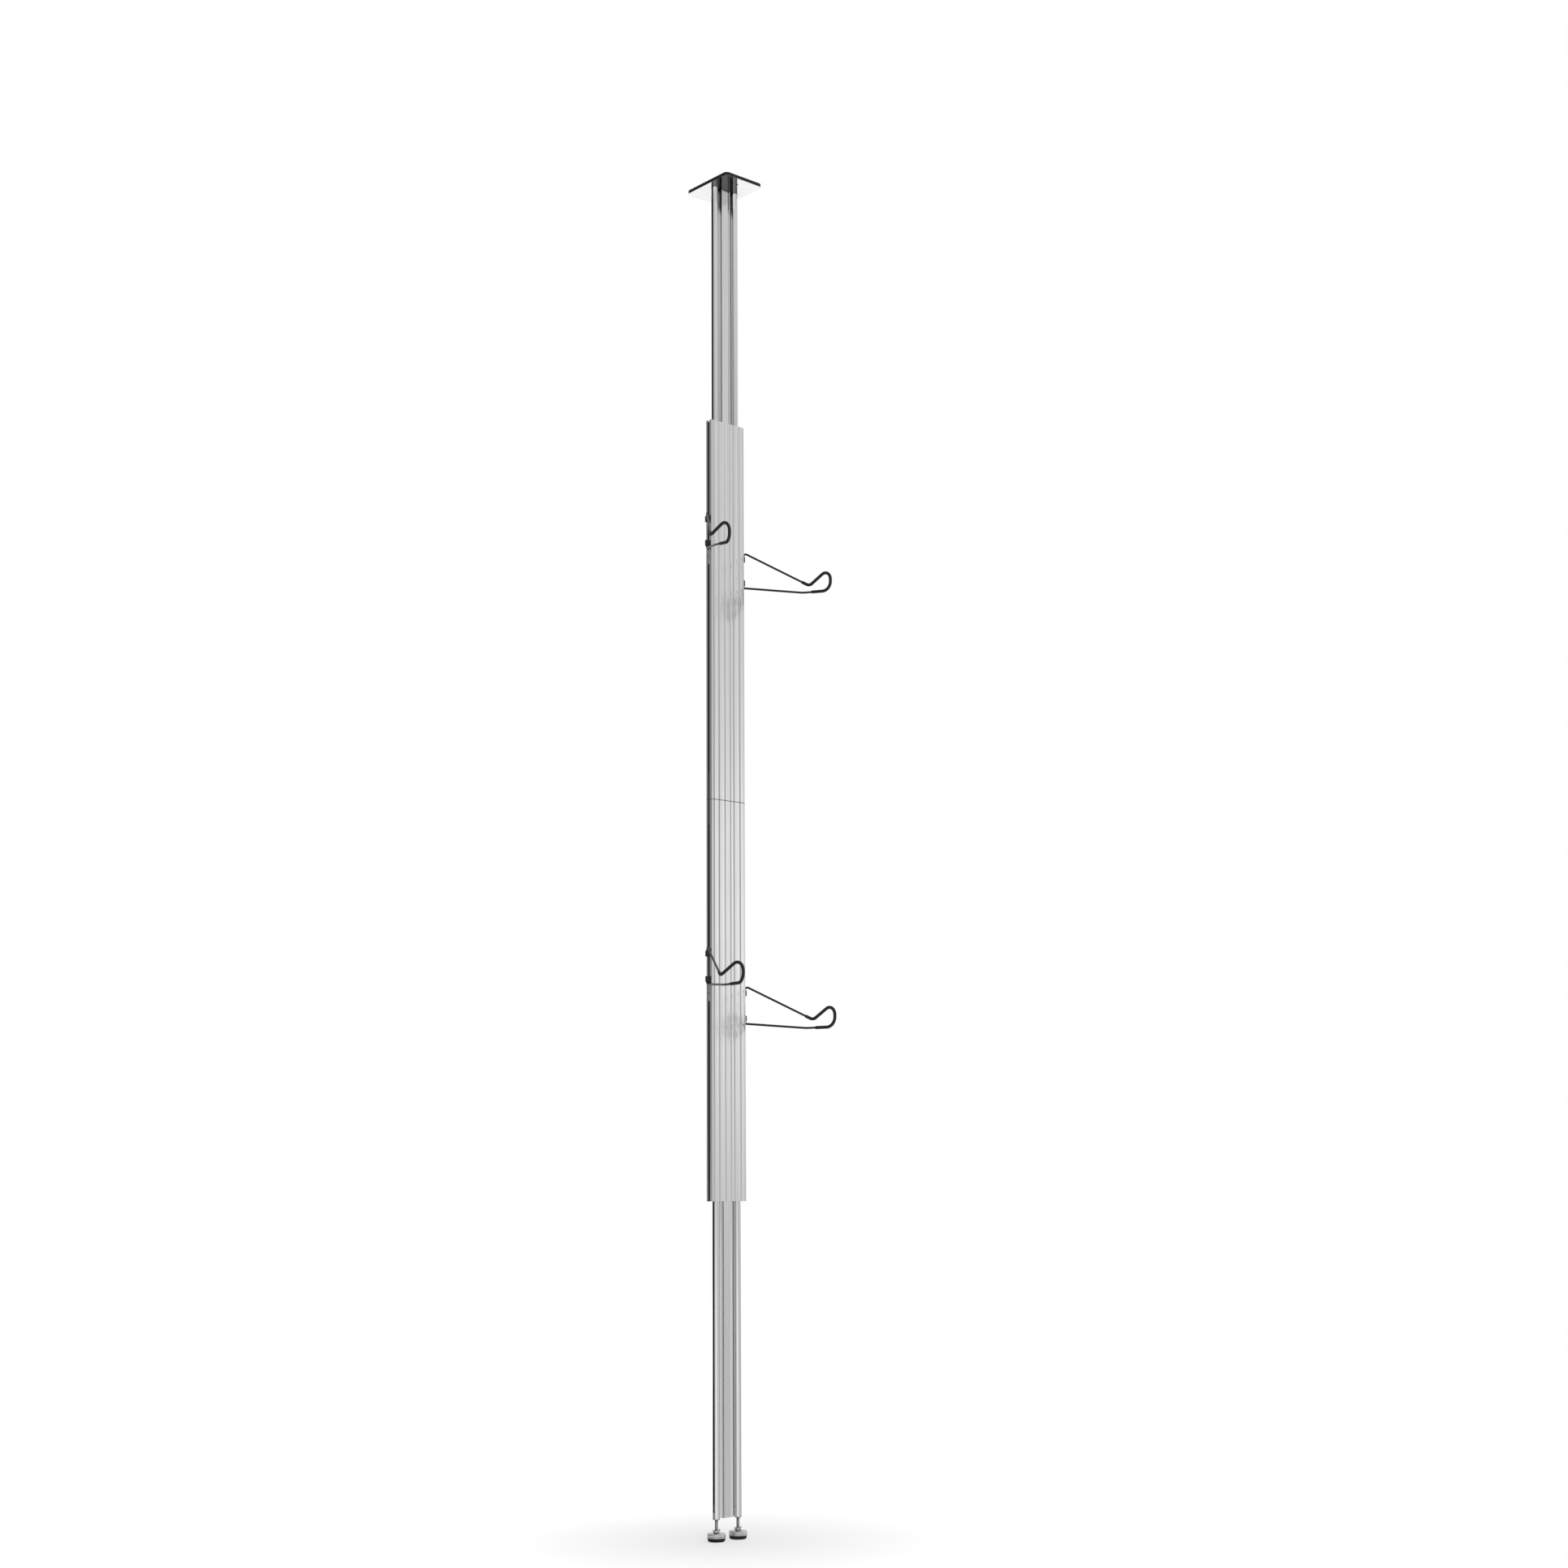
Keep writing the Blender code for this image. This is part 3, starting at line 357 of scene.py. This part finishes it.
MATERIALS = {
    "sleeve_aluminium": drawn_metal("sleeve_aluminium", 0.91, 0.17, 0.0004, slot_painted_shade, (0.995, 0.997, 1.0)),
    "rail_aluminium": drawn_metal("rail_aluminium", 0.90, 0.13, 0.0003, lobe_painted_shade, (0.995, 0.997, 1.0)),
    "ceiling_plate": plated_metal("ceiling_plate", 0.92, 0.035, 0.0004, grime=0.04, shaded_sides=True),
    "zinc_steel": plated_metal("zinc_steel", 0.70, 0.18, 0.0003, (1.0, 0.995, 0.97)),
    "foot_disc": plated_metal("foot_disc", 0.80, 0.10, 0.0003),
    "clamp_bright": plated_metal("clamp_bright", 0.84, 0.20, 0.0004),
    "ceiling_pad": black_finish("ceiling_pad", 0.016, 0.72, 0.0009, 0.00005, 0.10, 0.0006),
    "foot_rubber": black_finish("foot_rubber", 0.011, 0.70, 0.0007, 0.00005, 0.12, 0.0005),
    "hook_wire": black_finish("hook_wire", 0.014, 0.36, 0.0006, 0.00002, 0.10, 0.0003, coat=0.25),
    "hook_grip": black_finish("hook_grip", 0.017, 0.62, 0.0006, 0.00004, 0.06, 0.0004),
    "slider_black": black_finish("slider_black", 0.018, 0.46, 0.0005, 0.00003, 0.30, 0.0005),
}
slot_of = {part["node"]: part["material_slot"] for part in frame["record"]["subparts"]}


def dress(piece, slot):
    piece.data.materials.clear()
    piece.data.materials.append(MATERIALS[slot])


def stand_for(piece, node):
    """The piece takes the node's place, its body and its finish."""
    dress(piece, slot_of[node])
    body = next(name for name, members in frame["record"]["behaviour"]["bodies"].items() if node in members)
    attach(piece, body)
    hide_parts(node)


def add_mesh(name, shape):
    mesh = bpy.data.meshes.new(name)
    bmesh.ops.recalc_face_normals(shape, faces=shape.faces)
    shape.to_mesh(mesh)
    shape.free()
    mesh.shade_smooth()
    mesh.set_sharp_from_angle(angle=SHARP_ANGLE)
    made = bpy.data.objects.new(name, mesh)
    bpy.context.scene.collection.objects.link(made)
    return made


def join_rings(shape, rows, steps):
    """Faces between each ring of points and the next. A ring may be a single point."""
    for low, high in zip(rows, rows[1:]):
        for step in range(steps):
            after = (step + 1) % steps
            corners = [low[step % len(low)], low[after % len(low)]]
            corners += [high[after % len(high)], high[step % len(high)]]
            shape.faces.new(list(dict.fromkeys(corners)))


def middle_of(low, high, height):
    """The middle of a box seen from above, at a given height."""
    return Vector(((low.x + high.x) / 2, (low.y + high.y) / 2, height))


def softened(node, width, segments=2):
    """A copy of a node with its edges rounded off."""
    shape = bmesh.new()
    shape.from_mesh(frame["nodes"][node].data)
    bmesh.ops.remove_doubles(shape, verts=shape.verts, dist=WELD)
    bmesh.ops.dissolve_limit(shape, angle_limit=radians(1), verts=shape.verts, edges=shape.edges)
    made = add_mesh(f"{node}_soft", shape)
    bevel = made.modifiers.new("edges", "BEVEL")
    bevel.width = width
    bevel.segments = segments
    bevel.limit_method = "ANGLE"
    bevel.angle_limit = radians(40)
    bevel.harden_normals = False
    stand_for(made, node)
    return made


def turned(name, rings, steps, place, axis="Z"):
    """A turned piece. Each ring is a height and a radius, or a height and a radius for each angle."""
    shape = bmesh.new()
    rows = []
    for height, radius in rings:
        if radius == 0:
            rows.append([shape.verts.new((0, 0, height))])
            continue
        row = []
        for step in range(steps):
            angle = 2 * pi * step / steps
            reach = radius(angle) if callable(radius) else radius
            row.append(shape.verts.new((reach * cos(angle), reach * sin(angle), height)))
        rows.append(row)
    join_rings(shape, rows, steps)
    turn = {"Z": Matrix.Identity(4), "Y": Matrix.Rotation(-pi / 2, 4, "X")}[axis]
    bmesh.ops.transform(shape, matrix=Matrix.Translation(place) @ turn, verts=shape.verts)
    return add_mesh(name, shape)


def hexagon(half_width):
    """The reach of a hexagonal socket at each angle."""

    def reach(angle):
        return half_width / cos((angle % (pi / 3)) - pi / 6)

    return reach


def add_foot_disc(name):
    """A bright disc with a knurled band and a plain rolled rim."""
    low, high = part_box(f"foot_disc_{name}")
    radius = (high.x - low.x) / 2
    bottom, top = low.z, high.z
    center = middle_of(low, high, 0)
    teeth, depth, round_off, rim = 60, 0.0002, 0.0005, 0.0022
    band = radius - 0.0006

    def knurl(angle):
        return band - depth * (0.5 - 0.5 * cos(teeth * angle))

    rings = [
        (bottom, 0),
        (bottom, radius - round_off),
        (bottom + round_off * 0.3, radius - round_off * 0.3),
        (bottom + round_off, radius),
        (bottom + rim - round_off, radius),
        (bottom + rim - round_off * 0.3, radius - round_off * 0.3),
        (bottom + rim, band - depth - 0.0002),
        (bottom + rim + 0.0004, band - depth - 0.0002),
        (bottom + rim + 0.0009, knurl),
        (top - 0.0015, knurl),
        (top - 0.0010, band - depth - 0.0001),
        (top - 0.0004, band - depth - 0.0004),
        (top - 0.0001, band - depth - 0.0011),
        (top, band - depth - 0.0020),
        (top, WING_SEAT_RADIUS + 0.0012),
        (top - 0.0005, WING_SEAT_RADIUS + 0.0006),
        (top - 0.0005, FOOT_BORE + 0.0004),
        (top - 0.0009, FOOT_BORE),
        (bottom + 0.0029, FOOT_BORE),
        (bottom + 0.0029, 0),
    ]
    made = turned(f"foot_disc_knurled_{name}", rings, teeth * 6, center)
    stand_for(made, f"foot_disc_{name}")


def add_foot_pad(name):
    """A rubber pad with soft edges and two shallow grooves round it."""
    low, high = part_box(f"foot_pad_{name}")
    radius, height = (high.x - low.x) / 2, high.z - low.z
    center = middle_of(low, high, low.z)
    rings = [
        (height, 0),
        (height, radius * 0.955),
        (height - 0.0001, radius * 0.97),
        (height * 0.93, radius * 0.99),
        (height * 0.85, radius),
        (height * 0.66, radius * 0.995),
        (height * 0.62, radius * 0.98),
        (height * 0.56, radius * 0.98),
        (height * 0.52, radius * 0.99),
        (height * 0.36, radius * 0.975),
        (height * 0.32, radius * 0.96),
        (height * 0.27, radius * 0.955),
        (height * 0.23, radius * 0.96),
        (height * 0.12, radius * 0.93),
        (height * 0.03, radius * 0.875),
        (0, radius * 0.845),
        (0, 0),
    ]
    stand_for(turned(f"foot_pad_moulded_{name}", rings, 96, center), f"foot_pad_{name}")


def add_thread(name):
    """The foot rod with its thread cut as one helix, and plain chamfered ends."""
    low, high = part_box(f"foot_rod_{name}")
    radius, length = (high.x - low.x) / 2, high.z - low.z
    center = middle_of(low, high, low.z)
    steps, rows_per_turn, chamfer = 28, 8, 0.0009
    count = int(length / THREAD_PITCH * rows_per_turn)
    shape = bmesh.new()
    rows = [[shape.verts.new((0, 0, 0))]]
    for index in range(count + 1):
        height = length * index / count
        fade = min(1.0, (length - height) / chamfer, height / chamfer)
        row = []
        for step in range(steps):
            turn = step / steps
            phase = (height / THREAD_PITCH - turn) % 1.0
            flank = abs(2 * phase - 1)
            cut = THREAD_DEPTH * min(1.0, max(0.0, (flank - 0.12) / 0.76))
            reach = min(radius - cut, radius - THREAD_DEPTH * (1 - max(0.0, fade)))
            row.append(shape.verts.new((reach * cos(2 * pi * turn), reach * sin(2 * pi * turn), height)))
        rows.append(row)
    rows.append([shape.verts.new((0, 0, length))])
    join_rings(shape, rows, steps)
    bmesh.ops.transform(shape, matrix=Matrix.Translation(center), verts=shape.verts)
    stand_for(add_mesh(f"foot_rod_threaded_{name}", shape), f"foot_rod_{name}")


def add_wing_nut(name):
    """The wing nut as a casting: its corners melt into soft rounds."""
    node = f"wing_nut_{name}"
    shape = bmesh.new()
    shape.from_mesh(frame["nodes"][node].data)
    bmesh.ops.remove_doubles(shape, verts=shape.verts, dist=WELD)
    made = add_mesh(f"{node}_cast", shape)
    remesh = made.modifiers.new("cast", "REMESH")
    remesh.mode = "VOXEL"
    remesh.voxel_size = 0.00025
    remesh.use_smooth_shade = True
    smooth = made.modifiers.new("soft", "SMOOTH")
    smooth.factor = 0.5
    smooth.iterations = 5
    stand_for(made, node)


def add_lock_screw(name):
    """A low button head with a hexagonal socket, on the sleeve's back."""
    low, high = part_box(name)
    head = (high.x - low.x) / 2
    center = Vector(((low.x + high.x) / 2, 0, (low.z + high.z) / 2))
    seat, top, tip = high.y - 0.0026, high.y, low.y
    socket = hexagon(0.00125)
    rings = [
        (tip, 0),
        (tip, 0.0016),
        (tip + 0.0004, 0.0021),
        (seat, 0.0021),
        (seat, head - 0.0001),
        (seat + 0.0003, head),
        (seat + 0.0010, head * 0.97),
        (seat + 0.0016, head * 0.88),
        (seat + 0.0021, head * 0.74),
        (seat + 0.0025, head * 0.58),
        (top, head * 0.45),
        (top, hexagon(0.00145)),
        (top - 0.0002, socket),
        (top - 0.0018, socket),
        (top - 0.0022, 0),
    ]
    stand_for(turned(f"{name}_button", rings, 72, center, axis="Y"), name)


def corner_arc(before, corner, after, radius, steps):
    """Points on the arc that rounds off a corner between two straight runs."""
    inward = (corner - before).normalized()
    outward = (after - corner).normalized()
    turn = inward.angle(outward)
    start = corner - inward * radius * tan(turn / 2)
    normal = (outward - inward * inward.dot(outward)).normalized()
    angles = [turn * step / steps for step in range(steps + 1)]
    return [start + (inward * sin(a) + normal * (1 - cos(a))) * radius for a in angles]


def hook_route():
    """The wire's middle line round a whole right-hand hook, and the stretch inside the grip."""
    up = Vector((0, 0, 1))
    low, high = Vector((0, 0, 0)), up * HOOK_HEIGHT
    upper_setback = TAIL_BEND * tan(up.angle(DIP - high) / 2)
    lower_setback = TAIL_BEND * tan(up.angle(-LOWER_KNEE) / 2)
    first = high - up * (upper_setback + TAIL_IN_LUG)
    last = low + up * (lower_setback + TAIL_IN_LUG)
    looped = corner_arc(high, DIP, TIP_TOP, DIP_BEND, 12)
    looped += corner_arc(DIP, TIP_TOP, TIP_BOTTOM, TIP_BEND, 24)
    looped += corner_arc(TIP_TOP, TIP_BOTTOM, LOWER_KNEE, TIP_BEND, 24)
    lead = (high - DIP).normalized() * GRIP_LEAD
    tail = (LOWER_KNEE - TIP_BOTTOM).normalized() * GRIP_TAIL
    route = [first] + corner_arc(first, high, DIP, TAIL_BEND, 14) + looped
    route += corner_arc(TIP_BOTTOM, LOWER_KNEE, low, KNEE_BEND, 6)
    route += corner_arc(LOWER_KNEE, low, last, TAIL_BEND, 14) + [last]
    return route, [looped[0] + lead] + looped + [looped[-1] + tail]


def even_points(points, spacing):
    """Points along the same line, none further apart than the spacing."""
    made = [points[0]]
    for start, end in zip(points, points[1:]):
        parts = max(1, round((end - start).length / spacing))
        made += [start.lerp(end, part / parts) for part in range(1, parts + 1)]
    return made


def sweep(points, layers, sides):
    """Rings round the points. Each layer is an order of the points and a radius for each of them."""
    normals = []
    along = (points[1] - points[0]).normalized()
    normal = along.orthogonal().normalized()
    tangents = []
    for index in range(len(points)):
        before, after = points[max(0, index - 1)], points[min(len(points) - 1, index + 1)]
        tangent = (after - before).normalized()
        normal = (normal - tangent * normal.dot(tangent)).normalized()
        normals.append(normal)
        tangents.append(tangent)
    shape = bmesh.new()
    rows = []
    for order, radii in layers:
        for index in order:
            side_way = tangents[index].cross(normals[index])
            row = []
            for step in range(sides):
                angle = 2 * pi * step / sides
                reach = (normals[index] * cos(angle) + side_way * sin(angle)) * radii[index]
                row.append(shape.verts.new(points[index] + reach))
            rows.append(row)
    return shape, rows


def bridge(shape, rows, closed):
    """Faces between the rings, closed into a loop or with a cap at each end."""
    pairs = list(zip(rows, rows[1:])) + ([(rows[-1], rows[0])] if closed else [])
    for low, high in pairs:
        for step in range(len(low)):
            after = (step + 1) % len(low)
            shape.faces.new((low[step], low[after], high[after], high[step]))
    if not closed:
        shape.faces.new(list(reversed(rows[0])))
        shape.faces.new(rows[-1])


def lengths_along(points):
    """How far along the line each point lies."""
    made = [0.0]
    for start, end in zip(points, points[1:]):
        made.append(made[-1] + (end - start).length)
    return made


def rounded_end(distance, radius, round_off):
    """The radius near a rounded end, at a distance from it."""
    if distance >= round_off:
        return radius
    short = 1 - distance / round_off
    return radius - round_off * (1 - sqrt(max(0.0, 1 - short * short)))


def add_hook(name, side, lift, swing):
    """A smooth wire and a grip with rounded lips, placed on the hook's hinge."""
    hinge = next(j for j in frame["joints"] if j["name"] == f"arm_{name}_swing")
    base = Matrix.Translation(Vector(hinge["pos_m"])) @ Matrix.Rotation(radians(-side * swing), 4, "Z")
    bent_up = lift / TIP_TOP.y

    def placed(points):
        return [base @ Vector((side * p.x, -p.y, p.z + bent_up * p.y)) for p in points]

    route, covered = hook_route()
    wire_points = even_points(placed(route), 0.006)
    spans = lengths_along(wire_points)
    radii = [rounded_end(min(s, spans[-1] - s), WIRE_RADIUS, 0.0005) for s in spans]
    shape, rows = sweep(wire_points, [(range(len(wire_points)), radii)], 20)
    bridge(shape, rows, closed=False)
    stand_for(add_mesh(f"arm_wire_round_{name}", shape), f"arm_wire_{name}")

    ends = 0.0007
    line = placed(covered)
    first, last = (line[1] - line[0]).normalized(), (line[-1] - line[-2]).normalized()
    fine = [line[0] + first * ends * part for part in (0, 0.1, 0.3, 0.6, 1)]
    close = [line[-1] - last * ends * part for part in (1, 0.6, 0.3, 0.1, 0)]
    grip_points = fine + even_points([fine[-1]] + line[1:-1] + [close[0]], 0.005)[1:-1] + close
    spans = lengths_along(grip_points)
    inner = WIRE_RADIUS + GRIP_CLEARANCE
    outer = inner + GRIP_WALL
    outside = [rounded_end(min(s, spans[-1] - s), outer, ends) for s in spans]
    inside = [inner for _ in spans]
    count = len(grip_points)
    layers = [(range(count), outside), (range(count - 1, -1, -1), inside)]
    shape, rows = sweep(grip_points, layers, 24)
    bridge(shape, rows, closed=True)
    stand_for(add_mesh(f"arm_grip_round_{name}", shape), f"arm_grip_{name}")


def add_pieces():
    for node, piece in frame["nodes"].items():
        dress(piece, slot_of[node])
    softened("ceiling_plate", 0.0005, 3)
    softened("ceiling_pad", 0.0007, 3)
    for name in SIDES:
        add_foot_disc(name)
        add_foot_pad(name)
        add_thread(name)
        add_wing_nut(name)
    for end in ("upper", "lower"):
        add_lock_screw(f"rail_lock_screw_{end}")
    for name, (side, lift, swing) in HOOKS.items():
        add_hook(name, side, lift, swing)
        softened(f"arm_slider_{name}", 0.0004)
        softened(f"slider_clamp_{name}", 0.0004)


# How bright the room is all round, by degrees from straight ahead towards the right,
# at four heights from below the horizon to well above it
ROOM_LOW = (
    (-180, 0.34), (-130, 0.28), (-105, 0.30), (-80, 0.52), (-62, 0.82), (-42, 0.96), (-28, 0.93),
    (-10, 0.72), (5, 0.60), (42, 0.56), (60, 0.56), (90, 0.50), (113, 0.42), (180, 0.34),
)
ROOM_LEVEL = (
    (-180, 0.40), (-138, 0.26), (-90, 0.26), (-45, 0.30), (-10, 0.30), (17, 0.30), (30, 0.62),
    (42, 0.96), (55, 1.00), (80, 1.00), (100, 0.90), (138, 0.60), (180, 0.40),
)
ROOM_RAISED = (
    (-180, 0.40), (-138, 0.26), (-90, 0.26), (-45, 0.30), (-10, 0.32), (17, 0.32), (30, 0.50),
    (42, 0.71), (55, 0.76), (80, 0.78), (100, 0.75), (138, 0.60), (180, 0.40),
)
ROOM_HIGH = (
    (-180, 0.42), (-130, 0.26), (-115, 0.25), (-100, 0.31), (-80, 0.42), (-60, 0.52), (-40, 0.68),
    (-20, 0.76), (0, 0.70), (18, 0.62), (42, 0.66), (65, 0.72), (90, 0.75), (138, 0.60), (180, 0.42),
)
# Each set of tones above the lowest, and the heights between which it takes over from the one below
ROOM_BANDS = ((ROOM_LEVEL, -0.03, 0.08), (ROOM_RAISED, 0.165, 0.195), (ROOM_HIGH, 0.20, 0.38))


def tones_round(nodes, sideways, ahead, tones):
    """The room's tone in a direction, given by how far it goes sideways and ahead."""
    turn = nodes.spread(nodes.math("ARCTAN2", sideways, ahead), -pi, pi, 0.0, 1.0)
    ramp = nodes.add("ShaderNodeValToRGB", {0: turn})
    stops = ramp.color_ramp.elements
    for stop, (degrees_round, level) in zip((stops[0], stops[1]), (tones[0], tones[-1])):
        stop.position, stop.color = degrees_round / 360 + 0.5, grey(level)
    for degrees_round, level in tones[1:-1]:
        stops.new(degrees_round / 360 + 0.5).color = grey(level)
    return ramp.outputs[0]


def add_floor():
    """A pale floor. It fades to white for the camera and to the room's tones in the metal."""
    shape = bmesh.new()
    bmesh.ops.create_grid(shape, x_segments=8, y_segments=8, size=FLOOR_HALF_SIDE)
    bmesh.ops.translate(shape, vec=(0, 0, FLOOR_Z - FLOOR_GAP), verts=shape.verts)
    floor = add_mesh("floor", shape)
    material, nodes, shader, place = new_material("floor")
    grain = nodes.noise(place, 9.0, detail=4.0)
    color = nodes.blend(nodes.spread(grain, 0.3, 0.7, 0.0, 1.0), grey(0.92), grey(0.95))
    finish_surface(nodes, shader, color, nodes.spread(grain, 0.3, 0.7, 0.55, 0.65), grain, 0.1, 0.0005)
    shader.inputs["Specular IOR Level"].default_value = 0.3
    flat = nodes.add("ShaderNodeVectorMath", {0: place, 1: (1, 1, 0)}, operation="MULTIPLY").outputs[0]
    reach = nodes.add("ShaderNodeVectorMath", {0: flat}, operation="LENGTH").outputs["Value"]
    paths = nodes.add("ShaderNodeLightPath").outputs
    white = nodes.add("ShaderNodeEmission", {"Color": grey(1.0), "Strength": 1.0}).outputs[0]
    fade = nodes.math("MULTIPLY", paths["Is Camera Ray"], nodes.spread(reach, 0.05, 0.45, 0.60, 1.0))
    split = nodes.add("ShaderNodeSeparateXYZ", {0: place}).outputs
    tone = tones_round(nodes, split["X"], nodes.math("MULTIPLY", split["Y"], -1.0), ROOM_LOW)
    tone = nodes.blend(nodes.spread(split["Y"], 2.5, 4.5, 0.0, 1.0), tone, grey(1.0))
    room = nodes.add("ShaderNodeEmission", {"Color": tone, "Strength": 1.0}).outputs[0]
    far = nodes.math("MULTIPLY", paths["Is Glossy Ray"], nodes.spread(reach, 0.09, 0.20, 0.0, 1.0))
    mixed = nodes.add("ShaderNodeMixShader", {0: far, 1: shader.outputs[0], 2: room}).outputs[0]
    mixed = nodes.add("ShaderNodeMixShader", {0: fade, 1: mixed, 2: white}).outputs[0]
    output = next(node for node in material.node_tree.nodes if node.type == "OUTPUT_MATERIAL")
    nodes.tree.links.new(mixed, output.inputs["Surface"])
    floor.data.materials.append(material)


def add_world():
    """Graded grey tones that light the metal and show in it. The camera alone sees plain white."""
    world = bpy.data.worlds.new("room")
    bpy.context.scene.world = world
    world.use_nodes = True
    nodes = Nodes(world.node_tree)
    background = world.node_tree.nodes["Background"]
    way = nodes.add("ShaderNodeTexCoord").outputs["Generated"]
    split = nodes.add("ShaderNodeSeparateXYZ", {0: way}).outputs
    ahead = nodes.math("MULTIPLY", split["Y"], -1.0)
    color = tones_round(nodes, split["X"], ahead, ROOM_LOW)
    for tones, start, end in ROOM_BANDS:
        band = tones_round(nodes, split["X"], ahead, tones)
        color = nodes.blend(nodes.spread(split["Z"], start, end, 0.0, 1.0), color, band)
    paths = nodes.add("ShaderNodeLightPath").outputs
    color = nodes.blend(paths["Is Camera Ray"], color, grey(1.0))
    world.node_tree.links.new(color, background.inputs["Color"])
    background.inputs["Strength"].default_value = 1.0


def add_light(name, place, aim, size, power):
    """A soft lamp that lights the object but doesn't show in its metal."""
    lamp = bpy.data.lights.new(name, "AREA")
    lamp.shape = "RECTANGLE"
    lamp.size, lamp.size_y = size
    lamp.energy = power
    made = bpy.data.objects.new(name, lamp)
    bpy.context.scene.collection.objects.link(made)
    made.location = place
    made.visible_glossy = False
    made.rotation_euler = (Vector(aim) - Vector(place)).to_track_quat("-Z", "Y").to_euler()


def add_lights():
    middle = (0, 0, FLOOR_Z / 2)
    add_light("key", (-1.3, -3.4, FLOOR_Z + 3.4), middle, (1.8, 1.8), 26)
    add_light("fill", (3.4, 0.6, FLOOR_Z + 2.2), middle, (1.6, 2.0), 12)


add_camera()
add_pieces()
add_floor()
add_world()
add_lights()
bpy.context.scene.view_settings.view_transform = "Standard"
